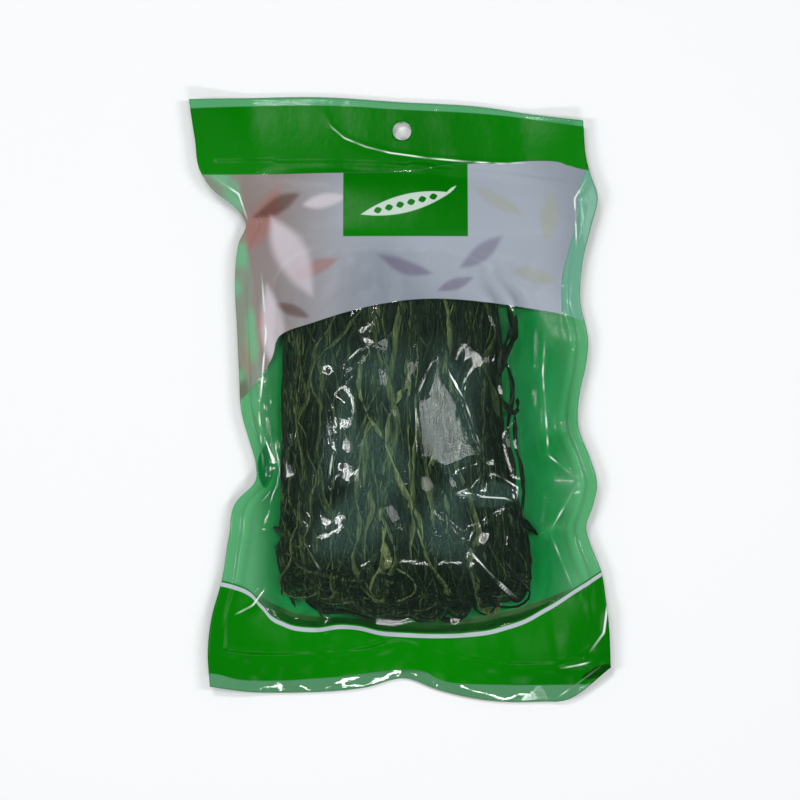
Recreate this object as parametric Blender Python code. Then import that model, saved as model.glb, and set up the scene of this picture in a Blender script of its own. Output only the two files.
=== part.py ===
"""Dried yardlong beans sealed in a printed film pouch that lies on its back.

The pouch is two webs of film, a front and a back, welded along all four edges.
A flat header at the top end has a round hole to hang it by. The beans are one
bunch of long shrivelled pods, folded over at the bottom end of the pouch.

X runs across the pouch, +Y towards its header and +Z up from what it lies on.
"""

import math
import random

import bmesh
import bpy
import numpy as np

MM = 0.001

# The film. Each web is drawn thicker than life, so that it is a sound solid.
FILM = 0.6 * MM
GAP = 0.3 * MM
COLUMNS = 20
ROWS = 30

# The outline as it lies, bowed and pinched by what is inside, in millimetres:
# (y, x) up each side and (x, y) along each end.
LEFT_SIDE = [
    (-128.3, -85.1), (-112.5, -86.0), (-96.8, -84.2), (-81.9, -80.1), (-60.8, -76.5),
    (-45.0, -72.9), (-36.5, -64.8), (-29.7, -64.4), (-18.0, -67.5), (-6.8, -70.7),
    (11.3, -72.0), (31.5, -72.9), (49.5, -73.8), (62.1, -73.4), (70.5, -72.0),
    (79.2, -68.9), (86.4, -74.0), (93.2, -82.8), (100.8, -88.6), (117.0, -91.8),
    (134.6, -94.5),
]
RIGHT_SIDE = [
    (-119.7, 94.3), (-103.5, 93.6), (-90.9, 92.3), (-75.2, 89.6), (-66.6, 86.0),
    (-57.2, 83.3), (-47.3, 86.4), (-37.8, 88.2), (-24.8, 84.6), (-13.5, 80.1),
    (3.6, 80.6), (15.8, 83.3), (26.6, 84.2), (44.6, 80.6), (55.4, 81.0),
    (65.3, 82.4), (77.4, 85.5), (92.7, 88.2), (99.9, 85.5), (106.2, 83.7),
    (125.1, 81.9),
]
TOP_END = [
    (-94.5, 134.6), (-67.5, 135.5), (-36.0, 135.9), (0.0, 133.7), (36.7, 131.5),
    (61.4, 127.8), (81.9, 125.1),
]
BOTTOM_END = [
    (-85.1, -128.3), (-67.1, -131.0), (-45.0, -131.4), (-15.8, -129.2), (2.7, -125.1),
    (16.7, -130.1), (36.5, -134.6), (63.5, -135.5), (74.7, -134.6), (94.3, -119.7),
]

# Heights. Shares run from 0 at the bottom end or left side to 1 opposite.
PUFF = 25.0 * MM
SIDE_RISE = 6.5 * MM
SIDE_LIFT_SHARE = 0.17
HEADER_FOLD = 0.862
HEM = 0.075
SIDE_SEAL = 0.028
SHOULDER = 0.42
FOOT_SHOULDER = 0.26
HEAD_SHOULDER = 0.36
END_RISE = [(0.0, 1.6), (0.07, 3.4), (0.17, 0.0), (0.68, 0.0), (0.86, 6.2), (0.94, 4.6), (1.0, 2.2)]
RISE_LIMIT = 7.4 * MM

# The hole that the pouch hangs by.
HOLE_AT = (0.9 * MM, 120.6 * MM)
HOLE_RADIUS = 4.25 * MM
HOLE_SIDES = 24

# The bunch of beans: where it lies, and its middle and half width at each end.
SEED = 11
BUNCH_FOOT, BUNCH_HEAD = -93.0 * MM, 80.0 * MM
MIDDLE_FOOT, MIDDLE_HEAD = 2.5 * MM, -1.0 * MM
HALF_FOOT, HALF_HEAD = 56.0 * MM, 50.0 * MM
FULL_WITHIN = 34.0 * MM
BEAN_RADIUS = 1.8 * MM
BEAN_SIDES = 5
STEP_ALONG = 13.0 * MM
LOOP_STEPS = 4
UPPER_BEANS = 14
LOWER_BEANS = 7
CLEAR_UNDER = 0.45 * MM
CLEAR_OVER = 1.1 * MM
CORE_SINK = 3.3 * MM
CORE_SHORT = 9.0 * MM
END_BOW = 11.0 * MM
CORE_SHARE = 0.93


def smooth_line(knots, at):
    """The value at each place of a smooth line through the knots."""
    x, y = np.array(knots, float).T
    slope = np.gradient(y, x)
    i = np.clip(np.searchsorted(x, at, side="right") - 1, 0, len(x) - 2)
    run = x[i + 1] - x[i]
    s = np.clip((at - x[i]) / run, 0.0, 1.0)
    return (
        (1 + 2 * s) * (1 - s) ** 2 * y[i]
        + s * (1 - s) ** 2 * run * slope[i]
        + s * s * (3 - 2 * s) * y[i + 1]
        - s * s * (1 - s) * run * slope[i + 1]
    )


def side_x(knots, y):
    return smooth_line(knots, np.clip(y / MM, knots[0][0], knots[-1][0])) * MM


def shares(x, y):
    """How far a point lies from the left side to the right, and from bottom to top."""
    left, right = side_x(LEFT_SIDE, y), side_x(RIGHT_SIDE, y)
    low, high = side_x(BOTTOM_END, x), side_x(TOP_END, x)
    across = np.clip((x - left) / (right - left), 0.0, 1.0)
    along = np.clip((y - low) / (high - low), 0.0, 1.0)
    return across, along


def swell(distance, seal, shoulder):
    """A film's rise from its seal to where it lies flat over the beans."""
    s = np.clip((distance - seal) / (shoulder - seal), 0.0, 1.0)
    return np.sin(0.5 * math.pi * s) ** 0.85


def back_height(x, y):
    """The underside of the back web: flat where the beans press it down."""
    across, along = shares(x, y)
    edge = np.clip(1.0 - np.minimum(across, 1.0 - across) / SIDE_LIFT_SHARE, 0.0, 1.0)
    side = SIDE_RISE * edge * edge * (3.0 - 2.0 * edge)
    end = np.maximum(smooth_line(END_RISE, along), 0.0) * MM
    flat = (along >= END_RISE[2][0]) & (along <= END_RISE[3][0])
    end = np.where(flat, 0.0, end)
    return end + side * (1.0 - end / RISE_LIMIT)


def front_height(x, y):
    """The underside of the front web."""
    across, along = shares(x, y)
    over = swell(np.minimum(across, 1.0 - across), SIDE_SEAL, SHOULDER)
    foot = swell(along, HEM, FOOT_SHOULDER)
    head = swell(HEADER_FOLD - along, 0.0, HEAD_SHOULDER)
    return back_height(x, y) + FILM + GAP + PUFF * over * foot * head


def outline_grid(columns, rows):
    """Points spread over the pouch's outline, rows from its bottom end up."""
    u, v = np.meshgrid(np.linspace(0, 1, columns + 1), np.linspace(0, 1, rows + 1))

    def side(knots):
        y = knots[0][0] + (knots[-1][0] - knots[0][0]) * v
        return smooth_line(knots, y) * MM, y * MM

    def end(knots):
        x = knots[0][0] + (knots[-1][0] - knots[0][0]) * u
        return x * MM, smooth_line(knots, x) * MM

    def corner(knots, i):
        return knots[i][0] * MM, knots[i][1] * MM

    sides = side(LEFT_SIDE), side(RIGHT_SIDE)
    ends = end(BOTTOM_END), end(TOP_END)
    corners = [corner(k, i) for k in (BOTTOM_END, TOP_END) for i in (0, -1)]
    return [
        (1 - u) * sides[0][a] + u * sides[1][a]
        + (1 - v) * ends[0][a] + v * ends[1][a]
        - (1 - u) * (1 - v) * corners[0][a] - u * (1 - v) * corners[1][a]
        - (1 - u) * v * corners[2][a] - u * v * corners[3][a]
        for a in (0, 1)
    ]


GRID_X, GRID_Y = outline_grid(COLUMNS, ROWS)
CENTRE_X = 0.5 * (GRID_X.min() + GRID_X.max())
CENTRE_Y = 0.5 * (GRID_Y.min() + GRID_Y.max())


def plain_material(name, colour, roughness, alpha=1.0):
    material = bpy.data.materials.new(name)
    material.use_nodes = True
    shader = material.node_tree.nodes["Principled BSDF"]
    shader.inputs["Base Color"].default_value = (*colour, 1.0)
    shader.inputs["Roughness"].default_value = roughness
    shader.inputs["Alpha"].default_value = alpha
    return material


def object_from(name, mesh, material, collection=None):
    obj = bpy.data.objects.new(name, mesh)
    (collection or bpy.context.scene.collection).objects.link(obj)
    mesh.materials.clear()
    mesh.materials.append(material)
    return obj


def mesh_from(name, vertices, faces):
    """A closed mesh moved to the pouch's own centre, its faces pointing out."""
    mesh = bpy.data.meshes.new(name)
    moved = [(x - CENTRE_X, y - CENTRE_Y, z) for x, y, z in vertices]
    mesh.from_pydata(moved, [], faces)
    bm = bmesh.new()
    bm.from_mesh(mesh)
    bmesh.ops.recalc_face_normals(bm, faces=bm.faces)
    bm.to_mesh(mesh)
    bm.free()
    mesh.shade_smooth()
    mesh.set_sharp_from_angle(angle=math.radians(50))
    return mesh


def sheet_mesh(name, x, y, under, over):
    """A closed sheet between two heights over a grid of places."""
    rows, columns = x.shape
    layer = rows * columns
    spots = [
        (float(x[j, i]), float(y[j, i]), float(z[j, i]))
        for z in (under, over)
        for j in range(rows)
        for i in range(columns)
    ]
    faces = []
    for j in range(rows - 1):
        for i in range(columns - 1):
            a = j * columns + i
            square = (a, a + 1, a + columns + 1, a + columns)
            # The same diagonal on both faces keeps a bent square from crossing itself.
            for three in ((0, 1, 2), (0, 2, 3)):
                faces.append(tuple(square[k] for k in three)[::-1])
                faces.append(tuple(square[k] + layer for k in three))
    rim = (
        [i for i in range(columns)]
        + [j * columns + columns - 1 for j in range(1, rows)]
        + [(rows - 1) * columns + i for i in range(columns - 2, -1, -1)]
        + [j * columns for j in range(rows - 2, 0, -1)]
    )
    for k, a in enumerate(rim):
        b = rim[(k + 1) % len(rim)]
        faces.append((a, b, b + layer, a + layer))
    return mesh_from(name, spots, faces)


def take_evaluated(obj):
    """Keeps what an object's modifiers make of it as its own mesh."""
    graph = bpy.context.evaluated_depsgraph_get()
    made = bpy.data.meshes.new_from_object(obj.evaluated_get(graph))
    obj.modifiers.clear()
    obj.data = made


def keep_outer_skin(mesh):
    """Drops the small skins that fusing leaves: sealed hollows and loose scraps."""
    bm = bmesh.new()
    bm.from_mesh(mesh)
    unseen, skins = set(bm.faces), []
    while unseen:
        skin, edge_of_skin = set(), [next(iter(unseen))]
        while edge_of_skin:
            face = edge_of_skin.pop()
            if face in skin:
                continue
            skin.add(face)
            edge_of_skin += [f for e in face.edges for f in e.link_faces if f not in skin]
        unseen -= skin
        skins.append(skin)
    largest = max(skins, key=len)
    spare = [f for skin in skins if skin is not largest for f in skin]
    bmesh.ops.delete(bm, geom=spare, context="FACES")
    bm.to_mesh(mesh)
    bm.free()


def punch_hole(web):
    """Cuts the hole for a peg through one web's header."""
    bpy.ops.mesh.primitive_cylinder_add(
        vertices=HOLE_SIDES,
        radius=HOLE_RADIUS,
        depth=60 * MM,
        location=(HOLE_AT[0] - CENTRE_X, HOLE_AT[1] - CENTRE_Y, 0.0),
    )
    cutter = bpy.context.object
    cut = web.modifiers.new("peg hole", "BOOLEAN")
    cut.operation = "DIFFERENCE"
    cut.object = cutter
    bpy.context.view_layer.update()
    take_evaluated(web)
    bpy.data.objects.remove(cutter)


def back_web(material):
    under = back_height(GRID_X, GRID_Y)
    mesh = sheet_mesh("back_film", GRID_X, GRID_Y, under, under + FILM)
    web = object_from("back_film", mesh, material)
    punch_hole(web)


def front_web(material):
    under = front_height(GRID_X, GRID_Y)
    mesh = sheet_mesh("front_film", GRID_X, GRID_Y, under, under + FILM)
    web = object_from("front_film", mesh, material)
    punch_hole(web)


def bunch_along(y):
    """The share of the bunch's length from its foot, 0, to its head, 1."""
    return np.clip((y - BUNCH_FOOT) / (BUNCH_HEAD - BUNCH_FOOT), -0.1, 1.0)


def bunch_x(across, y):
    """Where a share from -1 to 1 across the bunch lies."""
    t = bunch_along(y)
    middle = MIDDLE_FOOT + (MIDDLE_HEAD - MIDDLE_FOOT) * t
    half = HALF_FOOT + (HALF_HEAD - HALF_FOOT) * t
    return middle + half * across


def bunch_room(across, y):
    """The lowest and highest that a bean may reach at a place in the bunch."""
    x = bunch_x(across, y)
    low = back_height(x, y) + FILM + CLEAR_UNDER
    high = front_height(x, y) - CLEAR_OVER
    sides = 0.40 + 0.60 * np.sqrt(1.0 - np.clip(np.abs(across), 0.0, 1.0) ** 3.0)
    from_end = np.clip(np.minimum(y - BUNCH_FOOT, BUNCH_HEAD - y) / FULL_WITHIN, 0.0, 1.0)
    ends = 0.50 + 0.50 * np.sin(0.5 * math.pi * from_end)
    return low, low + (high - low) * sides * ends


def draw_bean(rng, place, pitch, level):
    """What sets one folded bean apart: where its halves lie and how they wander."""
    return {
        "level": level,
        "halves": (place, place + pitch * rng.uniform(0.4, 2.0)),
        "foot": BUNCH_FOOT + END_BOW * place * place + rng.uniform(0.0, 18.0) * MM,
        "heads": [BUNCH_HEAD - END_BOW * place * place - rng.uniform(0.0, 18.0) * MM for _ in (0, 1)],
        "slow": [(rng.uniform(0.015, 0.05), rng.uniform(0.7, 1.5), rng.random()) for _ in (0, 1)],
        "quick": [(rng.uniform(0.006, 0.02), rng.uniform(2.6, 4.2), rng.random()) for _ in (0, 1)],
        "drape": (rng.uniform(0.02, 0.07), rng.uniform(2.0, 3.4), rng.random()),
    }


def wander(waves, t):
    reach, turns, start = waves
    return reach * np.sin(2.0 * math.pi * (turns * t + start))


def bean_line(bean, step, loop_steps):
    """The middle line of one bean: down the bunch, round a loop and up again."""
    halves = []
    for place, head, slow, quick in zip(bean["halves"], bean["heads"], bean["slow"], bean["quick"]):
        y = np.linspace(head, bean["foot"], max(4, round((head - bean["foot"]) / step)) + 1)
        t = bunch_along(y)
        halves.append((np.clip(place + wander(slow, t) + wander(quick, t), -0.97, 0.97), y))
    (across_a, y_a), (across_b, y_b) = halves
    turn = np.linspace(0.0, math.pi, loop_steps + 1)[1:-1]
    width = across_b[-1] - across_a[-1]
    across = across_a[-1] + 0.5 * width * (1.0 - np.cos(turn))
    y = bean["foot"] - max(0.5 * abs(width) * HALF_FOOT, 1.6 * BEAN_RADIUS) * np.sin(turn)
    across = np.concatenate([across_a, across, across_b[::-1]])
    y = np.concatenate([y_a, y, y_b[::-1]])
    low, high = bunch_room(across, y)
    low, high = low + BEAN_RADIUS, np.maximum(high - 1.35 * BEAN_RADIUS, low + BEAN_RADIUS)
    level = np.clip(bean["level"] + wander(bean["drape"], bunch_along(y)), 0.0, 1.0)
    return np.stack([bunch_x(across, y), y, low + (high - low) * level], axis=1)


def tube_mesh(name, centres, radius):
    """A closed tube along a line, a little thinner at its two ends."""
    tangents = np.gradient(centres, axis=0)
    tangents /= np.linalg.norm(tangents, axis=1)[:, None]
    across = np.cross(tangents, (0.0, 0.0, 1.0))
    across /= np.linalg.norm(across, axis=1)[:, None]
    upward = np.cross(across, tangents)
    vertices = []
    last = len(centres) - 1
    for k in range(len(centres)):
        size = radius * (0.7 if k in (0, last) else 1.0)
        for s in range(BEAN_SIDES):
            a = 2.0 * math.pi * (s + 0.25) / BEAN_SIDES
            vertices.append(centres[k] + size * (across[k] * math.cos(a) + upward[k] * math.sin(a)))
    faces = [tuple(range(BEAN_SIDES)), tuple(last * BEAN_SIDES + s for s in range(BEAN_SIDES))[::-1]]
    for k in range(last):
        for s in range(BEAN_SIDES):
            a, b = k * BEAN_SIDES + s, k * BEAN_SIDES + (s + 1) % BEAN_SIDES
            faces.append((a, a + BEAN_SIDES, b + BEAN_SIDES, b))
    return mesh_from(name, [tuple(v) for v in vertices], faces)


def bunch_core(material):
    """The packed heart of the bunch, thin at its rim, which the outer beans lie on."""
    across, t = np.meshgrid(np.linspace(-CORE_SHARE, CORE_SHARE, 11), np.linspace(0.0, 1.0, 13))
    short = CORE_SHORT + END_BOW * across ** 2
    y = BUNCH_FOOT + short + (BUNCH_HEAD - BUNCH_FOOT - 2.0 * short) * t
    low, high = bunch_room(across, y)
    under = low + 0.3 * CORE_SINK
    over = np.maximum(high - CORE_SINK, under + FILM)
    return object_from("bean_bunch", sheet_mesh("bean_bunch", bunch_x(across, y), y, under, over), material)


def bean_bunch(material):
    """One bunch: a layer of folded beans over the heart of it, and one under it."""
    rng = random.Random(SEED)
    core = bunch_core(material)
    beans = bpy.data.collections.new("beans")
    bpy.context.scene.collection.children.link(beans)
    for count, level in ((UPPER_BEANS, 0.97), (LOWER_BEANS, 0.0)):
        pitch = 2.0 / count
        for k in range(count):
            bean = draw_bean(rng, -1.0 + (k + rng.uniform(0.05, 0.5)) * pitch, pitch, level)
            line = bean_line(bean, STEP_ALONG, LOOP_STEPS)
            object_from("bean", tube_mesh("bean", line, BEAN_RADIUS), material, beans)
    join = core.modifiers.new("join beans", "BOOLEAN")
    join.operation = "UNION"
    join.operand_type = "COLLECTION"
    join.collection = beans
    bpy.context.view_layer.update()
    take_evaluated(core)
    keep_outer_skin(core.data)
    for bean in list(beans.objects):
        bpy.data.objects.remove(bean)
    bpy.data.collections.remove(beans)


def main():
    for obj in list(bpy.data.objects):
        bpy.data.objects.remove(obj)
    back_web(plain_material("back print", (0.10, 0.46, 0.22), 0.35))
    front_web(plain_material("clear film", (0.25, 0.62, 0.35), 0.15, 0.45))
    bean_bunch(plain_material("dried bean", (0.07, 0.10, 0.035), 0.7))


main()
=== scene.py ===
import functools
import math
import random

import bmesh
import bpy
import numpy as np
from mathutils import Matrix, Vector


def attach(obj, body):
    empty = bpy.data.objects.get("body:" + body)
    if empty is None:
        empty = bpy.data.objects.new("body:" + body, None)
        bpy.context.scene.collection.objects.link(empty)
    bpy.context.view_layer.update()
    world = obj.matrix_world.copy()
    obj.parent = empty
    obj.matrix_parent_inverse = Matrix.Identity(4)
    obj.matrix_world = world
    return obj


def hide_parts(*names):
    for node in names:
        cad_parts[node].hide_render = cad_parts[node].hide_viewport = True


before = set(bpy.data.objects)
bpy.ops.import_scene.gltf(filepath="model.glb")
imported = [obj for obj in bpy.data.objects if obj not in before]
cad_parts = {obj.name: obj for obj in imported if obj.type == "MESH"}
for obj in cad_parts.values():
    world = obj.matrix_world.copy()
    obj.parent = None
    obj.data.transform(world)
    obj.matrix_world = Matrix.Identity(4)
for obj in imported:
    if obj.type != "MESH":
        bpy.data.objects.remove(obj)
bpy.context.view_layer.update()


# The back web: one sheet of printed film that the beans lie on.
# It is pressed flat under them and lifts towards its welded edges. A grid over the
# pouch's outline is raised by a formula and then given the film's thickness.

MM = 0.001
FILM = 0.6 * MM
GAP = 0.3 * MM

# The outline in millimetres: (y, x) up each side and (x, y) along each end.
LEFT_SIDE = [
    (-128.3, -85.1), (-112.5, -86), (-96.8, -84.2), (-81.9, -80.1), (-60.8, -76.5), (-45, -72.9),
    (-36.5, -64.8), (-29.7, -64.4), (-18, -67.5), (-6.8, -70.7), (11.3, -72), (31.5, -72.9),
    (49.5, -73.8), (62.1, -73.4), (70.5, -72), (79.2, -68.9), (86.4, -74), (93.2, -82.8), (100.8, -88.6),
    (117, -91.8), (134.6, -94.5),
]
RIGHT_SIDE = [
    (-119.7, 94.3), (-103.5, 93.6), (-90.9, 92.3), (-75.2, 89.6), (-66.6, 86), (-57.2, 83.3),
    (-47.3, 86.4), (-37.8, 88.2), (-24.8, 84.6), (-13.5, 80.1), (3.6, 80.6), (15.8, 83.3), (26.6, 84.2),
    (44.6, 80.6), (55.4, 81), (65.3, 82.4), (77.4, 85.5), (92.7, 88.2), (99.9, 85.5), (106.2, 83.7),
    (125.1, 81.9),
]
TOP_END = [
    (-94.5, 134.6), (-67.5, 135.5), (-36, 135.9), (0, 133.7), (36.7, 131.5), (61.4, 127.8), (81.9, 125.1),
]
BOTTOM_END = [
    (-85.1, -128.3), (-67.1, -131), (-45, -131.4), (-15.8, -129.2), (2.7, -125.1), (16.7, -130.1),
    (36.5, -134.6), (63.5, -135.5), (74.7, -134.6), (94.3, -119.7),
]
PUFF = 25.0 * MM
SIDE_RISE = 6.5 * MM
SIDE_LIFT_SHARE = 0.17
HEADER_FOLD = 0.862
HEM = 0.075
SIDE_SEAL = 0.028
SHOULDER = 0.42
FOOT_SHOULDER = 0.26
HEAD_SHOULDER = 0.36
FULLNESS = 0.85
FLAT_FROM, FLAT_TO = 0.17, 0.68
END_RISE = [(0, 1.6), (0.07, 3.4), (FLAT_FROM, 0), (FLAT_TO, 0), (0.86, 6.2), (0.94, 4.6), (1, 2.2)]
RISE_LIMIT = 7.4 * MM
HOLE_AT = (0.9 * MM, 120.6 * MM)
HOLE_RADIUS = 4.25 * MM

# Real film is about 0.08 mm thick. It is drawn a little thicker here, so that it is sound.
WEB_THICKNESS = 0.12 * MM
BACK_COLUMNS, BACK_ROWS = 110, 160


def unit(value):
    """A value kept from 0 to 1."""
    return np.clip(value, 0.0, 1.0)


def nearer_end(share):
    """How far a share lies from 0 or from 1, whichever is nearer."""
    return np.minimum(share, 1.0 - share)


def smooth_line(knots, at):
    """The value at each place of a smooth line through the knots."""
    x, y = np.array(knots, float).T
    slope = np.gradient(y, x)
    i = np.clip(np.searchsorted(x, at, side="right") - 1, 0, len(x) - 2)
    run = x[i + 1] - x[i]
    s = unit((at - x[i]) / run)
    return (
        (1 + 2 * s) * (1 - s) ** 2 * y[i]
        + s * (1 - s) ** 2 * run * slope[i]
        + s * s * (3 - 2 * s) * y[i + 1]
        - s * s * (1 - s) * run * slope[i + 1]
    )


def side_x(knots, y):
    return smooth_line(knots, np.clip(y / MM, knots[0][0], knots[-1][0])) * MM


def shares(x, y):
    """How far a point lies from the left side to the right, and from bottom to top."""
    left, right = side_x(LEFT_SIDE, y), side_x(RIGHT_SIDE, y)
    low, high = side_x(BOTTOM_END, x), side_x(TOP_END, x)
    across = unit((x - left) / (right - left))
    along = unit((y - low) / (high - low))
    return across, along


def swell(distance, seal, shoulder):
    """A film's rise from its seal to where it lies flat over the beans."""
    s = unit((distance - seal) / (shoulder - seal))
    return np.sin(0.5 * math.pi * s) ** FULLNESS


def back_height(x, y):
    """The underside of the back web: flat where the beans press it down."""
    across, along = shares(x, y)
    edge = unit(1.0 - nearer_end(across) / SIDE_LIFT_SHARE)
    side = SIDE_RISE * edge * edge * (3.0 - 2.0 * edge)
    end = np.maximum(smooth_line(END_RISE, along), 0.0) * MM
    flat = (along >= FLAT_FROM) & (along <= FLAT_TO)
    end = np.where(flat, 0.0, end)
    return end + side * (1.0 - end / RISE_LIMIT)


def front_height(x, y):
    """The underside of the front web of the solid model."""
    across, along = shares(x, y)
    over = swell(nearer_end(across), SIDE_SEAL, SHOULDER)
    foot = swell(along, HEM, FOOT_SHOULDER)
    head = swell(HEADER_FOLD - along, 0.0, HEAD_SHOULDER)
    return back_height(x, y) + FILM + GAP + PUFF * over * foot * head


def outline_grid(columns, rows):
    """Points spread over the pouch's outline, rows from its bottom end up."""
    u, v = np.meshgrid(np.linspace(0, 1, columns + 1), np.linspace(0, 1, rows + 1))

    def edge(knots, share):
        at = knots[0][0] + (knots[-1][0] - knots[0][0]) * share
        return at * MM, smooth_line(knots, at) * MM

    left, right = edge(LEFT_SIDE, v)[::-1], edge(RIGHT_SIDE, v)[::-1]
    low, high = edge(BOTTOM_END, u), edge(TOP_END, u)
    corners = [np.array(knots[i]) * MM for knots in (BOTTOM_END, TOP_END) for i in (0, -1)]
    return [
        (1 - u) * left[a] + u * right[a] + (1 - v) * low[a] + v * high[a]
        - (1 - u) * (1 - v) * corners[0][a] - u * (1 - v) * corners[1][a]
        - (1 - u) * v * corners[2][a] - u * v * corners[3][a]
        for a in (0, 1)
    ]


# The pouch's middle, which the solid model has as its origin.
CENTRE_X, CENTRE_Y = (0.5 * (g.min() + g.max()) for g in outline_grid(20, 30))


def grid_mesh(name, points, values=None):
    """A mesh of squares over rows of points, facing up, with the peg hole left out."""
    rows, columns = points.shape[:2]
    flat = points.reshape(-1, 3)
    number = np.arange(rows * columns).reshape(rows, columns)
    squares = np.stack([number[:-1, :-1], number[:-1, 1:], number[1:, 1:], number[1:, :-1]], axis=-1)
    squares = squares.reshape(-1, 4)
    middle = flat[squares].mean(axis=1)
    away = np.hypot(middle[:, 0] - HOLE_AT[0], middle[:, 1] - HOLE_AT[1])
    squares = squares[away > HOLE_RADIUS]
    moved = flat - (CENTRE_X, CENTRE_Y, 0.0)
    mesh = bpy.data.meshes.new(name)
    mesh.from_pydata(moved.tolist(), [], squares.tolist())
    for label, grid in (values or {}).items():
        kind, field = ("FLOAT_COLOR", "color") if grid.ndim == 3 else ("FLOAT", "value")
        mesh.attributes.new(label, kind, "POINT").data.foreach_set(field, grid.ravel())
    round_the_hole(mesh)
    mesh.shade_smooth()
    return mesh


def round_the_hole(mesh):
    """Moves the edge that the hole leaves onto its circle, and drops loose points."""
    bm = bmesh.new()
    bm.from_mesh(mesh)
    bmesh.ops.delete(bm, geom=[v for v in bm.verts if not v.link_faces], context="VERTS")
    hole_x, hole_y = HOLE_AT[0] - CENTRE_X, HOLE_AT[1] - CENTRE_Y
    for v in bm.verts:
        reach = math.hypot(v.co.x - hole_x, v.co.y - hole_y)
        if v.is_boundary and reach < 2.0 * HOLE_RADIUS:
            v.co.x = hole_x + (v.co.x - hole_x) * HOLE_RADIUS / reach
            v.co.y = hole_y + (v.co.y - hole_y) * HOLE_RADIUS / reach
    bm.to_mesh(mesh)
    bm.free()


def piece_from(name, mesh, *materials):
    obj = bpy.data.objects.new(name, mesh)
    bpy.context.scene.collection.objects.link(obj)
    for material in materials:
        mesh.materials.append(material)
    return obj


def bake_modifiers(obj):
    """Keeps what an object's modifiers make of it as its own plain mesh."""
    bpy.context.view_layer.update()
    graph = bpy.context.evaluated_depsgraph_get()
    made = bpy.data.meshes.new_from_object(obj.evaluated_get(graph))
    made.name = obj.data.name
    obj.modifiers.clear()
    obj.data = made


def film_thickness(obj):
    """Gives a sheet its thickness, upwards; its other side has the next material."""
    wall = obj.modifiers.new("film thickness", "SOLIDIFY")
    wall.thickness = WEB_THICKNESS
    wall.offset = 1.0
    wall.material_offset = 1
    wall.use_even_offset = True
    bake_modifiers(obj)


class Nodes:
    """Builds one node tree by plain calls, each of which gives back sockets."""

    def __init__(self, tree):
        self.tree = tree

    def fill(self, node, inputs):
        """Links or sets some of a node's inputs, and gives back its outputs."""
        for key, value in inputs.items():
            if isinstance(value, bpy.types.NodeSocket):
                self.tree.links.new(value, node.inputs[key])
            else:
                node.inputs[key].default_value = value
        return node.outputs

    def put(self, kind, inputs=None, **settings):
        """A new node, its settings made first and then its inputs."""
        node = self.tree.nodes.new(kind)
        for key, value in settings.items():
            setattr(node, key, value)
        return self.fill(node, inputs or {})

    def group(self, tree, inputs):
        return self.put("ShaderNodeGroup", inputs, node_tree=tree)

    def math(self, how, *values):
        return self.put("ShaderNodeMath", dict(enumerate(values)), operation=how)[0]

    def less(self, a, b):
        return self.math("SUBTRACT", a, b)

    def add(self, *values):
        return functools.reduce(lambda a, b: self.math("ADD", a, b), values)

    def times(self, *values):
        return functools.reduce(lambda a, b: self.math("MULTIPLY", a, b), values)

    def most(self, *values):
        return functools.reduce(lambda a, b: self.math("MAXIMUM", a, b), values)

    def ramp(self, value, low, high, to_low=0.0, to_high=1.0, how="SMOOTHSTEP"):
        """A value's way from one level to another, between two limits."""
        span = {0: value, 1: low, 2: high, 3: to_low, 4: to_high}
        return self.put("ShaderNodeMapRange", span, interpolation_type=how)[0]

    def mix(self, share, a, b):
        return self.put("ShaderNodeMix", {0: share, 6: a, 7: b}, data_type="RGBA")[2]

    def noise(self, vector, scale, detail=2.0, roughness=0.5):
        inputs = {"Vector": vector, "Scale": scale, "Detail": detail, "Roughness": roughness}
        return self.put("ShaderNodeTexNoise", inputs)["Fac"]

    def bump(self, height, strength, depth):
        return self.put("ShaderNodeBump", {"Height": height, "Strength": strength, "Distance": depth})[0]

    def attribute(self, name, output="Fac"):
        return self.put("ShaderNodeAttribute", attribute_name=name)[output]

    def stretched(self, vector, scale):
        return self.put("ShaderNodeMapping", {"Vector": vector, "Scale": scale})[0]


def new_group(name, kind, inputs, outputs):
    """A new node group with named sockets: its builder, and what the group is given."""
    tree = bpy.data.node_groups.new(name, kind)
    for way, sockets in (("INPUT", inputs), ("OUTPUT", outputs)):
        for label, what in sockets.items():
            tree.interface.new_socket(label, in_out=way, socket_type="NodeSocket" + what)
    nodes = Nodes(tree)
    return nodes, nodes.put("NodeGroupInput")


def srgb(red, green, blue):
    """A colour as the eye reads it, from 0 to 255, as the shader takes it."""
    def light(c):
        c /= 255.0
        return c / 12.92 if c <= 0.04045 else ((c + 0.055) / 1.055) ** 2.4
    return (light(red), light(green), light(blue), 1.0)


def shader_for(name):
    """A new material with its node builder, its Principled shader and object coordinates."""
    material = bpy.data.materials.new(name)
    material.use_nodes = True
    nodes = Nodes(material.node_tree)
    shader = material.node_tree.nodes["Principled BSDF"]
    return material, nodes, shader, nodes.put("ShaderNodeTexCoord")["Object"]


def millimetres_group():
    """A shader node group: object coordinates as millimetres from the outline's own origin."""
    nodes, given = new_group(
        "pouch millimetres", "ShaderNodeTree", {"Place": "Vector"},
        {"Place": "Vector", "X": "Float", "Y": "Float"})
    moved = nodes.put("ShaderNodeMapping", {
        "Vector": given["Place"], "Location": (CENTRE_X / MM, CENTRE_Y / MM, 0.0),
        "Scale": (1.0 / MM, 1.0 / MM, 1.0 / MM)})[0]
    apart = nodes.put("ShaderNodeSeparateXYZ", {0: moved})
    nodes.put("NodeGroupOutput", {"Place": moved, "X": apart[0], "Y": apart[1]})
    return nodes.tree


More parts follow.
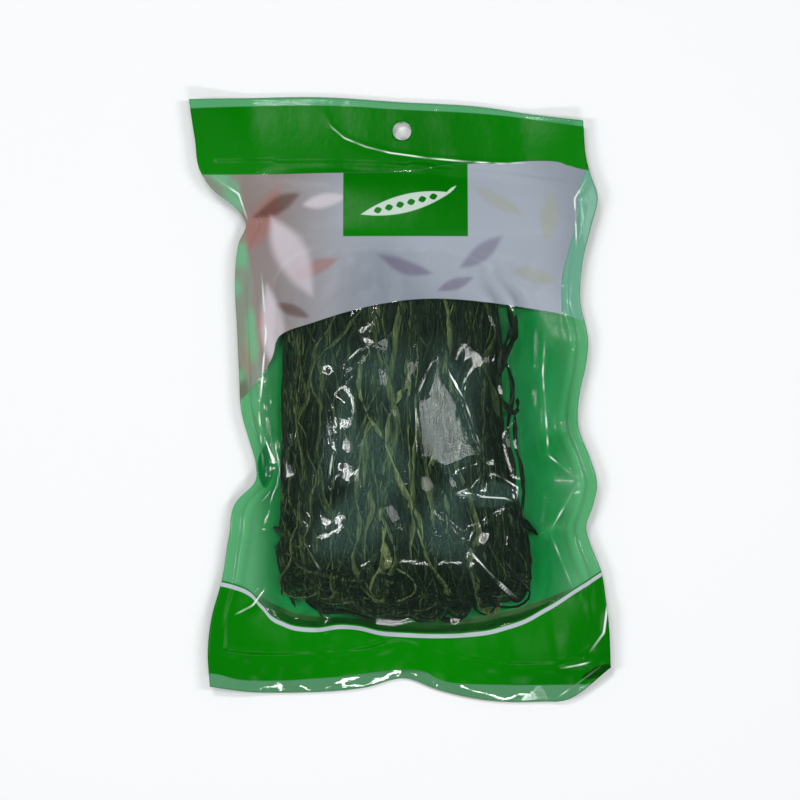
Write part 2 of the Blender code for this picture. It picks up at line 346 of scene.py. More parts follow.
def crinkle_group():
    """A shader node group: the height of finely crinkled film, with some grain."""
    nodes, given = new_group(
        "crinkled film", "ShaderNodeTree", {"Place": "Vector", "Fineness": "Float", "Grain": "Float"},
        {"Height": "Float"})
    crinkle = nodes.noise(nodes.stretched(given["Place"], (1.0, 0.6, 1.0)), given["Fineness"], 2.0, 0.62)
    grain = nodes.times(nodes.noise(given["Place"], 1300.0, 0.0), given["Grain"])
    nodes.put("NodeGroupOutput", {"Height": nodes.add(crinkle, grain)})
    return nodes.tree


millimetres = millimetres_group()
crinkled = crinkle_group()
CRINKLE_DEPTH = 1.1 * MM
FILM_IOR = 1.46

# The top of the green foot that is printed on the back web, in millimetres.
BACK_FOOT_LINE = [
    (-95, -84), (-70, -86), (-56, -92), (-40, -97), (-20, -98), (0, -99), (28, -98.5), (48, -95),
    (64, -90), (80, -83), (97, -76),
]


def line_curve(nodes, value, knots):
    """The height of a drawn line, in millimetres, at a place along it in millimetres."""
    start, end = knots[0][0], knots[-1][0]
    low = min(k[1] for k in knots) - 1.0
    high = max(k[1] for k in knots) + 1.0
    node = nodes.tree.nodes.new("ShaderNodeFloatCurve")
    curve = node.mapping.curves[0]
    spots = [((a - start) / (end - start), (b - low) / (high - low)) for a, b in knots]
    curve.points[0].location, curve.points[1].location = spots[0], spots[-1]
    for spot in spots[1:-1]:
        curve.points.new(*spot)
    node.mapping.update()
    share = nodes.ramp(value, start, end, how="LINEAR")
    return nodes.ramp(nodes.fill(node, {"Value": share})[0], 0.0, 1.0, low, high, "LINEAR")


def crinkled_normal(nodes, place, fineness, grain, strength):
    """The normal of a film's fine crinkles."""
    height = nodes.group(crinkled, {"Place": place, "Fineness": fineness, "Grain": grain})[0]
    return nodes.bump(height, strength, CRINKLE_DEPTH)


def back_material(name, colour, pale, foot=None):
    """Printed film: one green with a faint unevenness, glossy, finely crinkled."""
    material, nodes, shader, place = shader_for(name)
    blotch = nodes.noise(place, 26.0, 2.0)
    grain = nodes.noise(place, 900.0, 1.0)
    tint = nodes.mix(nodes.ramp(blotch, 0.35, 0.7), colour, pale)
    tint = nodes.mix(nodes.ramp(grain, 0.3, 0.8, 0.0, 0.22), tint, pale)
    if foot:
        _, x, y = nodes.group(millimetres, {"Place": place})
        gap = nodes.less(y, line_curve(nodes, x, BACK_FOOT_LINE))
        tint = nodes.mix(nodes.ramp(gap, 0.6, -0.6), tint, foot)
        stripe = nodes.times(
            nodes.ramp(gap, -2.6, -1.6), nodes.ramp(gap, 0.8, 0.0), nodes.ramp(blotch, 0.4, 0.6, 0.0, 0.6))
        tint = nodes.mix(stripe, tint, srgb(96, 140, 84))
    nodes.fill(shader, {
        "Base Color": tint, "Roughness": nodes.ramp(blotch, 0.3, 0.8, 0.22, 0.34), "IOR": FILM_IOR,
        "Specular IOR Level": 0.08, "Normal": crinkled_normal(nodes, place, 90.0, 0.0, 0.27),
    })
    return material


back_inside = back_material("back film inside", srgb(10, 158, 70), srgb(38, 170, 92), srgb(0, 94, 4))
back_outside = back_material("back film printed side", srgb(0, 122, 20), srgb(10, 134, 30))

back_x, back_y = outline_grid(BACK_COLUMNS, BACK_ROWS)
back_points = np.stack([back_x, back_y, back_height(back_x, back_y)], axis=-1)
back_web = piece_from("back_web", grid_mesh("back_web", back_points), back_inside, back_outside)
film_thickness(back_web)
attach(back_web, "root")
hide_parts("back_film")


# The bunch: long dried pods, folded over at the pouch's foot and pressed together.
# Each is a shrivelled tube that twists and wanders down the bunch, turns and comes up
# again. Geometry Nodes sweep a flattened section along every line.

BUNCH_FOOT, BUNCH_HEAD = -93.0 * MM, 80.0 * MM
MIDDLE_FOOT, MIDDLE_HEAD = 2.5 * MM, -1.0 * MM
HALF_FOOT, HALF_HEAD = 56.0 * MM, 50.0 * MM
FULL_WITHIN = 34.0 * MM
CLEAR_UNDER = 0.45 * MM
CLEAR_OVER = 1.1 * MM
END_BOW = 11.0 * MM
RIGHT_DRAWN_IN = 0.16
DRAWN_IN_FROM, DRAWN_IN_OVER = 30.0 * MM, 45.0 * MM


def bunch_along(y):
    """The share of the bunch's length from its foot, 0, to its head, 1."""
    return np.clip((y - BUNCH_FOOT) / (BUNCH_HEAD - BUNCH_FOOT), -0.1, 1.0)


def bunch_x(across, y):
    """Where a share from -1 to 1 across the bunch lies."""
    t = bunch_along(y)
    middle = MIDDLE_FOOT + (MIDDLE_HEAD - MIDDLE_FOOT) * t
    half = HALF_FOOT + (HALF_HEAD - HALF_FOOT) * t
    return middle + half * across


def bunch_room(across, y):
    """The lowest and highest that a bean may reach at a place in the bunch."""
    x = bunch_x(across, y)
    low = back_height(x, y) + FILM + CLEAR_UNDER
    high = front_height(x, y) - CLEAR_OVER
    sides = 0.40 + 0.60 * np.sqrt(1.0 - unit(np.abs(across)) ** 3.0)
    from_end = unit(np.minimum(y - BUNCH_FOOT, BUNCH_HEAD - y) / FULL_WITHIN)
    ends = 0.50 + 0.50 * np.sin(0.5 * math.pi * from_end)
    return low, low + (high - low) * sides * ends


def drawn_in(across, y):
    """The bunch's right side drawn in towards its head, where the beans lie tighter."""
    share = unit((y - BUNCH_FOOT - DRAWN_IN_FROM) / DRAWN_IN_OVER)
    return np.where(across > 0.0, across * (1.0 - RIGHT_DRAWN_IN * share), across)


def wander(rng, t, reach, turns):
    """A wave of random reach, pace and start along a line."""
    amount, pace = rng.uniform(*reach), rng.uniform(*turns)
    return amount * np.sin(2.0 * math.pi * (pace * t + rng.random()))


def half_bean(rng, place, head, foot, step, level):
    """One side of a folded bean, from its tip down: shares across, y and levels."""
    y = np.linspace(head, foot, max(6, round((head - foot) / step)) + 1)
    t = bunch_along(y)
    across = wander(rng, t, (0.012, 0.085), (0.5, 1.4)) + wander(rng, t, (0.008, 0.040), (2.0, 4.2))
    across = across + wander(rng, t, (0.004, 0.015), (6.0, 11.0))
    t = unit(t)
    across = place + across * (1.0 + 1.3 * (1.0 - t) ** 3 + 0.9 * t * t)
    height = level + wander(rng, t, (0.03, 0.10), (1.2, 3.0)) + wander(rng, t, (0.01, 0.04), (4.0, 8.0))
    return np.clip(across, -1.0, 1.0), y, unit(height)


def folded_bean(rng, place, spread, level, step, radius):
    """The middle line of a bean that goes down the bunch, round a loop and up again."""
    bow = END_BOW * place * place
    foot = BUNCH_FOOT + bow + rng.uniform(-2.0, 16.0) * MM
    heads = [BUNCH_HEAD - bow - rng.uniform(0.0, 22.0) * MM for _ in (0, 1)]
    down = half_bean(rng, place, heads[0], foot, step, level)
    up = half_bean(rng, place + spread, heads[1], foot, step, level - rng.uniform(0.0, 0.12))
    turn = np.linspace(0.0, math.pi, 9)[1:-1]
    width = up[0][-1] - down[0][-1]
    sag = min(max(0.5 * abs(width) * HALF_FOOT, 1.6 * radius) * rng.uniform(0.8, 1.4), 6.0 * MM)
    across = np.concatenate([down[0], down[0][-1] + 0.5 * width * (1.0 - np.cos(turn)), up[0][::-1]])
    y = np.concatenate([down[1], foot - sag * np.sin(turn), up[1][::-1]])
    arch = down[2][-1] + (up[2][-1] - down[2][-1]) * turn / math.pi
    height = np.concatenate([down[2], arch, up[2][::-1]])
    low, high = bunch_room(across, y)
    low, high = low + radius, np.maximum(high - 1.2 * radius, low + radius)
    return np.stack([bunch_x(drawn_in(across, y), y), y, low + (high - low) * height], axis=1)


def lines_mesh(name, lines):
    """A mesh of bare edges, one chain for each line, with each point's width, turn and tone."""
    points, edges, width, turn, tone = [], [], [], [], []
    for line in lines:
        first = len(points)
        points += [(x - CENTRE_X, y - CENTRE_Y, z) for x, y, z in line["at"].tolist()]
        edges += [(first + k, first + k + 1) for k in range(len(line["at"]) - 1)]
        width += line["width"].tolist()
        turn += line["turn"].tolist()
        tone += [line["tone"]] * len(line["at"])
    mesh = bpy.data.meshes.new(name)
    mesh.from_pydata(points, edges, [])
    for label, values in (("width", width), ("turn", turn), ("tone", tone)):
        mesh.attributes.new(label, "FLOAT", "POINT").data.foreach_set("value", values)
    return mesh


def sweep_tree(name, material):
    """A Geometry Nodes tree that sweeps a flattened, uneven section along each line."""
    nodes, given = new_group(
        name, "GeometryNodeTree",
        {"Lines": "Geometry", "Sides": "Int", "Flatness": "Float", "Crumple": "Float",
         "Crumple size": "Float"},
        {"Beans": "Geometry"})
    turn, width = (nodes.put("GeometryNodeInputNamedAttribute", {"Name": n})[0] for n in ("turn", "width"))
    curve = nodes.put("GeometryNodeMeshToCurve", {"Mesh": given["Lines"]})[0]
    curve = nodes.put("GeometryNodeSetCurveTilt", {"Curve": curve, "Tilt": turn})[0]
    ring = nodes.put("GeometryNodeCurvePrimitiveCircle", {"Resolution": given["Sides"], "Radius": 1.0})[0]
    aside = nodes.put("ShaderNodeSeparateXYZ", {0: nodes.put("GeometryNodeInputPosition")[0]})[0]
    rim = {"Geometry": ring, "Name": "rim", "Value": nodes.math("ABSOLUTE", aside)}
    ring = nodes.put("GeometryNodeStoreNamedAttribute", rim)[0]
    squash = nodes.put("ShaderNodeCombineXYZ", {0: 1.0, 1: given["Flatness"], 2: 1.0})[0]
    ring = nodes.put("GeometryNodeTransform", {"Geometry": ring, "Scale": squash})[0]
    swept = nodes.put("GeometryNodeCurveToMesh", {
        "Curve": curve, "Profile Curve": ring, "Scale": width, "Fill Caps": True})[0]
    bumps = nodes.put("ShaderNodeTexNoise", {"Scale": given["Crumple size"], "Detail": 1.0})["Color"]
    offset = nodes.put("ShaderNodeVectorMath", {0: bumps, 1: (0.5, 0.5, 0.5)}, operation="SUBTRACT")[0]
    offset = nodes.put("ShaderNodeVectorMath", {0: offset, "Scale": given["Crumple"]}, operation="SCALE")[0]
    for kind, inputs in (
        ("GeometryNodeSetPosition", {"Offset": offset}), ("GeometryNodeSetShadeSmooth", {}),
        ("GeometryNodeRealizeInstances", {}), ("GeometryNodeSetMaterial", {"Material": material}),
    ):
        swept = nodes.put(kind, {"Geometry": swept, **inputs})[0]
    nodes.put("NodeGroupOutput", {"Beans": swept})
    return nodes.tree


def sweep(name, lines, material, **values):
    """One piece of many beans: the tree run over the lines and kept as a plain mesh."""
    tree = sweep_tree(name, material)
    obj = piece_from(name, lines_mesh(name, lines), material)
    run = obj.modifiers.new("sweep", "NODES")
    run.node_group = tree
    for socket in tree.interface.items_tree:
        label = socket.name.replace(" ", "_")
        if label in values:
            run[socket.identifier] = values[label]
    bake_modifiers(obj)
    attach(obj, "root")
    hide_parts("bean_bunch")


SEED = 11
TIP_WIDTH = 0.35
BEAN_TIP, ROUTED_TIP = 0.012, 0.04
ROUTED_STEP = 2.4
FOOT_REACH = 52.0
STREAK_DEPTH = 0.6 * MM


def bean_material(name, dark, middle, light, streak_scale):
    """Dry pod skin: dark green-brown in its folds, olive on its ridges, faintly waxy."""
    material, nodes, shader, place = shader_for(name)
    streaks = nodes.noise(nodes.stretched(place, (1.0, 0.10, 1.0)), streak_scale, 2.0, 0.6)
    mottle = nodes.noise(place, 160.0, 1.0, 0.6)
    # Each pod is painted lighter along its section's edges: partly its paler seams, partly a painted
    # highlight.
    share = nodes.add(
        nodes.attribute("tone"), nodes.ramp(streaks, 0.3, 0.75, -0.25, 0.35),
        nodes.ramp(nodes.attribute("rim"), 0.6, 1.0, -0.06, 0.22), nodes.ramp(mottle, 0.3, 0.7, -0.12, 0.12))
    colour = nodes.mix(nodes.ramp(share, 0.0, 0.62), dark, middle)
    colour = nodes.mix(nodes.ramp(share, 0.55, 1.1), colour, light)
    nodes.fill(shader, {
        "Base Color": colour, "Roughness": nodes.ramp(mottle, 0.3, 0.7, 0.45, 0.68),
        "Specular IOR Level": 0.16, "Normal": nodes.bump(streaks, 0.7, STREAK_DEPTH),
    })
    return material


dark_bean = bean_material(
    "dried pod skin", srgb(4, 13, 7), srgb(28, 48, 30), srgb(94, 116, 72), 1300.0)
olive_bean = bean_material(
    "olive pod skin", srgb(34, 50, 28), srgb(84, 102, 60), srgb(138, 152, 100), 1100.0)


def tapered(width, t, tip):
    """A bean's width drawn in to its two tips."""
    return width * np.clip(nearer_end(t) / tip, TIP_WIDTH, 1.0)


def bean(rng, place, spread, level, radius, step, tone):
    """One folded bean, with the width and turn of its section at each point."""
    at = folded_bean(rng, place, spread, level, step, radius)
    t = np.linspace(0.0, 1.0, len(at))
    uneven = wander(rng, t, (0.10, 0.32), (3.0, 8.0)) + wander(rng, t, (0.03, 0.14), (14.0, 30.0))
    turn = wander(rng, t, (0.5, 2.2), (0.8, 2.2)) + rng.uniform(-9.0, 9.0) * t
    return {"at": at, "width": tapered(radius * (1.0 + uneven), t, BEAN_TIP), "turn": turn, "tone": tone}


def many_beans(seed, count, levels, radii, spreads, step, tones, reach):
    """Beans side by side across the bunch, each with its own place, height, width and tone."""
    rng = random.Random(seed)
    pitch = 2.0 * reach / count
    return [
        bean(
            rng, -reach + (k + rng.random()) * pitch, rng.choice((-1, 1)) * rng.uniform(*spreads),
            rng.uniform(*levels), rng.uniform(*radii) * MM, step * MM, rng.uniform(*tones),
        )
        for k in range(count)
    ]


def routed_bean(rng, route, level, radius, tone):
    """A bean laid along given places, in millimetres."""
    spots = np.array(route, float)
    gone = np.concatenate([[0.0], np.cumsum(np.linalg.norm(np.diff(spots, axis=0), axis=1))])
    s = np.linspace(0.0, gone[-1], max(6, round(gone[-1] / ROUTED_STEP)) + 1)
    x = smooth_line(np.stack([gone, spots[:, 0]], axis=1), s) * MM
    y = smooth_line(np.stack([gone, spots[:, 1]], axis=1), s) * MM
    t = s / gone[-1]
    across = (x - bunch_x(0.0, y)) / (bunch_x(1.0, y) - bunch_x(0.0, y))
    low, high = bunch_room(np.clip(across, -1.0, 1.0), y)
    low, high = low + radius * MM, np.maximum(high - radius * MM, low + radius * MM)
    height = unit(level + wander(rng, t, (0.01, 0.05), (1.0, 3.0)))
    width = tapered(radius * MM * (1.0 + wander(rng, t, (0.06, 0.18), (3.0, 7.0))), t, ROUTED_TIP)
    turn = wander(rng, t, (0.5, 2.0), (0.8, 2.0)) + rng.uniform(-4.0, 4.0) * t
    at = np.stack([x, y, low + (high - low) * height], axis=1)
    return {"at": at, "width": width, "turn": turn, "tone": tone}


def tangled_foot(seed, count):
    """Beans that run across the bunch's foot, where the folds tangle."""
    rng = random.Random(seed)
    beans = []
    for _ in range(count):
        start, run, low = rng.uniform(-50.0, 18.0), rng.uniform(26.0, 62.0), rng.uniform(-99.0, -76.0)
        x = np.linspace(start, min(start + run, FOOT_REACH), 9)
        wave = rng.uniform(1.0, 4.5) * np.sin(x / rng.uniform(5.0, 13.0) + 6.0 * rng.random())
        y = np.maximum(low + 9.0 * (x / FOOT_REACH) ** 2 + wave, -100.0)
        level, radius, tone = rng.uniform(0.45, 0.98), rng.uniform(0.8, 1.6), rng.uniform(0.0, 0.85)
        beans.append(routed_bean(rng, np.stack([x, y], axis=1), level, radius, tone))
    return beans


# Pods that stand out from the rest, from their upper tips down, in millimetres:
# the radius, the tone, how high each lies and its route.
OLIVE_PODS = [
    (1.5, 0.75, 1, [(3.1, 6.6), (-2.6, -1.9), (-4.5, -8.6), (-5.4, -17.1), (-1.8, -32.2), (3.1, -42.6),
        (6.9, -49.3), (9.7, -58.7), (11.6, -68.2), (14.4, -74.7)]),
    (1.2, 0.55, 1, [(-12.2, -9.5), (-16.8, -20.8), (-18.7, -32.2), (-19.2, -45.5), (-18.2, -56.8),
        (-20.6, -71.1), (-17.8, -79.6), (-11.1, -89.1), (-5.4, -90.9)]),
    (2.2, 0.85, 1, [(-7.3, -46.4), (-8.3, -55), (-6.9, -63.5), (-5.4, -71.1), (-12.2, -80.6),
        (-13.1, -85.3)]),
    (1, 0.8, 1, [(-1.8, -74.7), (5.9, -80.6), (6.8, -84.2), (-1.8, -90.9)]),
    (1, 0.65, 1, [(-15.9, 19.9), (-17.8, 12.3), (-17.8, 2.8), (-14, -6.6), (-7.3, -17.1)]),
    (1.3, 0.5, 1, [(19, -40), (21, -52), (19.5, -60)]),
    (1.1, 0.45, 0.98, [(-46, 32), (-44, 14), (-46.5, -6), (-43, -30), (-45, -52), (-42, -78)]),
    (1.3, 0.35, 1, [(-26, 44), (-29.7, 35.5), (-37.3, 22.5), (-39.1, 5.9), (-34.2, -5)]),
    (1.5, 0.15, 1, [(-49, 42), (-48.2, 32.2), (-45, 21.2), (-48.2, 7.2), (-46, -7.2), (-47.2, -22.5),
        (-45, -36.7)]),
    (0.9, 0.45, 1, [(-14, 44), (-19.8, 36.5), (-28.6, 25.6), (-37.3, 18), (-41, 4)]),
    (1.5, 0.1, 1, [(37, 46), (39.2, 39.8), (42.5, 28.9), (38, 18), (41, 4.9), (44, -7.2)]),
]
LOOSE_PODS = [
    (1.4, 0.15, 0.9, [(52, 38), (51.8, 30), (48.6, 23), (45, 14), (43.3, 10.4), (46.7, -1.8),
        (50.4, -5.7), (53.3, -4.7)]),
    (1, 0.25, 0.9, [(52.6, 1), (52.2, -5), (50.8, -6.5)]),
    (1.5, 0.3, 0.9, [(46, 48), (49, 39.8), (50.6, 33.3), (45.7, 22.3), (44.6, 10.3)]),
    (1.2, 0.3, 0.8, [(51.4, -5.7), (51.9, -20.8), (54.2, -30.3), (55.2, -44.5), (54.2, -53.1)]),
    (2, 0.05, 0.7, [(53.4, -52), (57, -56), (61.8, -60.6)]),
    (1.1, 0.3, 0.8, [(55.2, -63.5), (58.5, -71.1), (55.7, -77.7), (51.4, -82.3)]),
    (1.1, 0.35, 0.95, [(38.1, -56.8), (40.1, -64.4), (45.7, -66.8), (52.3, -63.5), (53.3, -58.7)]),
    (1.2, 0.1, 0.9, [(43, 34), (46, 20), (50, 8), (48, -16), (51, -34), (47, -52)]),
    (1.2, 0.3, 0.6, [(-53, -40), (-51, -56), (-54.5, -66), (-52, -80), (-47, -93)]),
    (1, 0.3, 0.6, [(-45, -42), (-49, -58), (-52.5, -74), (-53, -88)]),
    (1.3, 0.4, 0.8, [(-44, -62), (-38, -74), (-33, -86), (-28, -95)]),
    (2.8, 0.55, 0.98, [(-57, -57), (-51, -60), (-44, -66), (-37, -75)]),
    (2.3, 0.45, 0.98, [(-56, -66), (-49, -69), (-42, -74), (-36, -84)]),
    (1.3, 0.55, 0.95, [(-40, -70), (-36, -80), (-37, -92), (-34, -98)]),
    (1.2, 0.6, 0.95, [(14, -82), (17, -90), (23, -94), (31, -95)]),
    (1.4, 0.5, 0.95, [(-24, -80), (-20, -90), (-12, -96), (-2, -97)]),
]

rng = random.Random(SEED + 4)
main_beans = many_beans(SEED, 66, (0.76, 0.99), (0.9, 1.75), (0.02, 0.20), 3.0, (-0.2, 0.7), 0.97)
deep_beans = many_beans(SEED + 1, 34, (0.30, 0.75), (1.0, 1.8), (0.02, 0.12), 4.5, (-0.2, 0.2), 0.99)
wisps = many_beans(SEED + 2, 54, (0.90, 1.0), (0.35, 0.75), (0.03, 0.34), 3.6, (0.1, 0.8), 0.98)
olive_beans = many_beans(SEED + 3, 7, (0.96, 1.0), (1.1, 1.6), (0.04, 0.16), 2.6, (0.1, 0.6), 0.85)
olive_beans += [routed_bean(rng, route, level, radius, tone) for radius, tone, level, route in OLIVE_PODS]
foot_beans = tangled_foot(SEED + 5, 26)
foot_beans += [routed_bean(rng, route, level, radius, tone) for radius, tone, level, route in LOOSE_PODS]
for name, lines, skin, sides, flatness, crumple, size in (
    ("bunch_beans", main_beans, dark_bean, 8, 0.5, 0.0013, 330.0),
    ("bunch_deep_beans", deep_beans, dark_bean, 6, 0.6, 0.0010, 300.0),
    ("bunch_wisps", wisps, dark_bean, 4, 0.6, 0.0010, 300.0),
    ("bunch_foot_beans", foot_beans, dark_bean, 8, 0.55, 0.0012, 330.0),
    ("bunch_olive_beans", olive_beans, olive_bean, 10, 0.38, 0.0015, 380.0),
):
    sweep(name, lines, skin, Sides=sides, Flatness=flatness, Crumple=crumple, Crumple_size=size)

# The heart of the bunch, which the pods that show lie on and round.
CORE_SHARE = 0.90
CORE_SHORT = 12.0 * MM
CORE_SINK = 3.2 * MM
CORE_RIDGE = 0.6 * MM
CORE_ROUNDING = 12.0


def heart_points(columns, rows, upper):
    """The upper or the lower sheet of the heart, which meet at its rim."""
    across, t = np.meshgrid(np.linspace(-CORE_SHARE, CORE_SHARE, columns), np.linspace(0.0, 1.0, rows))
    short = CORE_SHORT + END_BOW * across ** 2
    y = BUNCH_FOOT + short + (BUNCH_HEAD - BUNCH_FOOT - 2.0 * short) * t
    low, high = bunch_room(across, y)
    under = low + 0.3 * CORE_SINK
    over = np.maximum(high - CORE_SINK, under + FILM)
    ridges = CORE_RIDGE * np.sin(across * 95.0 + 6.0 * np.sin(t * 9.0 + across * 7.0))
    rim = unit((CORE_SHARE - np.abs(across)) * CORE_ROUNDING)
    rim = rim * unit(nearer_end(t) * CORE_ROUNDING)
    z = under + (over - under + ridges) * rim if upper else under
    return np.stack([bunch_x(drawn_in(across, y), y), y, z], axis=-1)


def heart_mesh(name, columns, rows):
    """A closed body between an upper and a lower sheet that meet at their rim."""
    bm = bmesh.new()
    for upper in (True, False):
        points = heart_points(columns, rows, upper) - (CENTRE_X, CENTRE_Y, 0.0)
        grid = [[bm.verts.new(p) for p in row] for row in points.tolist()]
        for j in range(rows - 1):
            for i in range(columns - 1):
                square = (grid[j][i], grid[j][i + 1], grid[j + 1][i + 1], grid[j + 1][i])
                bm.faces.new(square if upper else square[::-1])
    bmesh.ops.remove_doubles(bm, verts=bm.verts, dist=1e-6)
    mesh = bpy.data.meshes.new(name)
    bm.to_mesh(mesh)
    bm.free()
    mesh.shade_smooth()
    return mesh


bunch_heart = piece_from("bunch_heart", heart_mesh("bunch_heart", 140, 60), dark_bean)
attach(bunch_heart, "root")
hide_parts("bean_bunch")


# The front web: one sheet of clear film with a printed header, panel and foot.
# It is laid over the beans and drawn tight to its welds by relaxing a net of lengths
# a little too long for the form, so it wrinkles as film does.

FRONT_COLUMNS, FRONT_ROWS = 176, 260
FRONT_LIFT = 0.35 * MM
TOPS_CELL = 0.8 * MM
BRIDGE_CELLS = 6
BEAN_GIRTH = 0.7
AIR_SHARE = 0.88
AIR_FROM, AIR_OVER = 52.0, 22.0
BLISTER = 0.9 * MM
BRIDGE_DROP = 0.10 * MM
FILM_SEED = 5
TOPS_MARGIN = 4.0
TOPS_SIZE = (200, 280)
CLEAR_OF_BEANS = 0.4 * MM
LOOK_EVERY = 4
FREE_FROM_SIDE, FREE_FROM_FOOT, FREE_TO_HEAD = 1.6 * SIDE_SEAL, 0.9 * HEM, HEADER_FOLD + 0.03


def resample(grid, shape):
    """A grid of values read smoothly at another number of rows and columns."""
    for axis, count in enumerate(shape):
        at = np.linspace(0.0, grid.shape[axis] - 1, count)
        low = np.minimum(at.astype(int), grid.shape[axis] - 2)
        part = (at - low).reshape([-1 if a == axis else 1 for a in range(grid.ndim)])
        grid = np.take(grid, low, axis) * (1.0 - part) + np.take(grid, low + 1, axis) * part
    return grid


def soft_noise(shape, cells, seed):
    """Smooth noise from -1 to 1 over a grid."""
    coarse = np.random.default_rng(seed).uniform(-1.0, 1.0, (cells[0] + 1, cells[1] + 1))
    return resample(resample(coarse, (4 * cells[0], 4 * cells[1])), shape)


def neighbours(grid, drop=0.0):
    """The four cells round each cell of a grid."""
    padded = np.pad(grid, 1, mode="edge") - drop
    return padded[1:-1, 2:], padded[1:-1, :-2], padded[2:, 1:-1], padded[:-2, 1:-1]


def bean_tops(lines):
    """How high the beans reach over each place, on a grid of small cells, and its corner."""
    corner = np.array([TOP_END[0][0], min(y for _, y in BOTTOM_END)])
    corner = (corner - TOPS_MARGIN) * MM
    cells = tuple(int(size * MM / TOPS_CELL) for size in TOPS_SIZE)
    tops = np.full(cells, -1.0)
    for line in lines:
        count = len(line["at"])
        fine = np.linspace(0.0, count - 1.0, 5 * count)
        x, y, z = (np.interp(fine, np.arange(count), line["at"][:, a]) for a in range(3))
        width = np.interp(fine, np.arange(count), line["width"])
        for side in (-BEAN_GIRTH, 0.0, BEAN_GIRTH):
            i = ((x + side * width - corner[0]) / TOPS_CELL).astype(int)
            j = ((y - corner[1]) / TOPS_CELL).astype(int)
            np.maximum.at(tops, (i, j), z + BEAN_GIRTH * width)
    x, y = (corner[a] + TOPS_CELL * np.arange(cells[a]) for a in (0, 1))
    x, y = np.meshgrid(x, y, indexing="ij")
    back = back_height(x, y) + FRONT_LIFT
    puffed = front_height(x, y) - FILM - GAP + FRONT_LIFT
    air = AIR_SHARE * unit((y / MM - AIR_FROM) / AIR_OVER)
    tops = np.maximum(tops, back + air * (puffed - back))
    bridged = tops + BLISTER * np.maximum(0.0, soft_noise(cells, (9, 12), FILM_SEED))
    for _ in range(BRIDGE_CELLS):
        bridged = np.maximum.reduce([bridged, *neighbours(bridged, BRIDGE_DROP)])
    for _ in range(BRIDGE_CELLS):
        bridged = 0.25 * sum(neighbours(bridged))
    return bridged + CLEAR_OF_BEANS, corner


def read_between(heights, i, j):
    """A grid's value at places between its points."""
    i, j = (np.clip(v, 0, heights.shape[a] - 2) for a, v in enumerate((i, j)))
    low_i, low_j = i.astype(int), j.astype(int)
    a, b = i - low_i, j - low_j
    left = heights[low_i, low_j] * (1.0 - b) + heights[low_i, low_j + 1] * b
    right = heights[low_i + 1, low_j] * (1.0 - b) + heights[low_i + 1, low_j + 1] * b
    return left * (1.0 - a) + right * a


# Each length in the net: points down and across, how stiff it is and its share of the slack.
NET_REACHES = [
    (0, 1, 1, 1), (1, 0, 1, 0.2), (1, 1, 0.5, 0.6), (1, -1, 0.5, 0.6), (0, 2, 0.5, 1), (2, 0, 0.6, 0.2),
    (0, 4, 0.25, 1), (4, 0, 0.4, 0.2),
]


def net_lengths(points):
    """The lengths in a net of points, in sets of pairs that don't share a point."""
    rows, columns = points.shape[:2]
    number = np.arange(rows * columns).reshape(rows, columns)
    flat = points.reshape(-1, 3)
    sets = []
    for down, right, stiffness, spare in NET_REACHES:
        left = max(0, -right)
        a = number[: rows - down, left: columns - max(0, right)]
        b = number[down:, left + right: columns - max(0, right) + right]
        reach = max(down, abs(right))
        order = (a // columns) if down else (a % columns)
        for turn in (0, 1):
            chosen = (order // reach) % 2 == turn
            first, second = a[chosen], b[chosen]
            length = np.linalg.norm(flat[second] - flat[first], axis=1)
            sets.append((first, second, length, stiffness, spare))
    return sets


def relax(points, net, slack, free, tops, rounds, sag):
    """Draws the net towards its lengths, a little over-long, while it rests on what is under it."""
    shape = points.shape
    p = points.reshape(-1, 3).copy()
    slack, free = slack.reshape(-1), free.reshape(-1)
    heights, corner = tops
    for k in range(rounds):
        p[:, 2] -= sag * free
        for first, second, length, stiffness, spare in net:
            gap = p[second] - p[first]
            now = np.sqrt((gap * gap).sum(axis=1))
            want = length * (1.0 + 0.5 * spare * (slack[first] + slack[second]))
            move = gap * (0.5 * stiffness * (now - want) / now)[:, None]
            p[first] += move * free[first][:, None]
            p[second] -= move * free[second][:, None]
        if k % LOOK_EVERY == 0:
            reach = read_between(heights, *((p[:, :2] - corner) / TOPS_CELL).T)
            under = np.maximum(reach, back_height(p[:, 0], p[:, 1]) + FRONT_LIFT)
        p[:, 2] = np.maximum(p[:, 2], np.where(free > 0.0, under, p[:, 2]))
    return p.reshape(shape)


def front_form(columns, rows):
    """Where the front web would lie if it were as smooth as the solid model."""
    x, y = outline_grid(columns, rows)
    return np.stack([x, y, front_height(x, y) - FILM - GAP + FRONT_LIFT], axis=-1)


def laid_film():
    """The front web at rest on the beans, worked from a coarse net to a fine one."""
    tops = bean_tops(main_beans + wisps + olive_beans + foot_beans)
    points = None
    for share, rounds, sag in ((4, 260, 0.05 * MM), (2, 220, 0.03 * MM), (1, 160, 0.015 * MM)):
        columns, rows = FRONT_COLUMNS // share, FRONT_ROWS // share
        form = front_form(columns, rows)
        size = form.shape[:2]
        across, along = shares(form[..., 0], form[..., 1])
        inside = (nearer_end(across) > FREE_FROM_SIDE) & (along > FREE_FROM_FOOT)
        free = (inside & (along < FREE_TO_HEAD)).astype(float)
        if points is None:
            points = form.copy()
            points[..., 2] += 1.5 * MM * free * soft_noise(size, (14, 9), FILM_SEED)
        else:
            points = np.where(free[..., None] > 0.0, resample(points, size), form)
            ruffle = soft_noise(size, (rows // 3, columns // 3), FILM_SEED + share)
            points[..., 2] += 0.25 * MM * free * ruffle
        slack = 0.008 + 0.012 * soft_noise(size, (7, 5), FILM_SEED + 10)
        points = relax(points, net_lengths(form), slack, free, tops, rounds, sag)
    return points


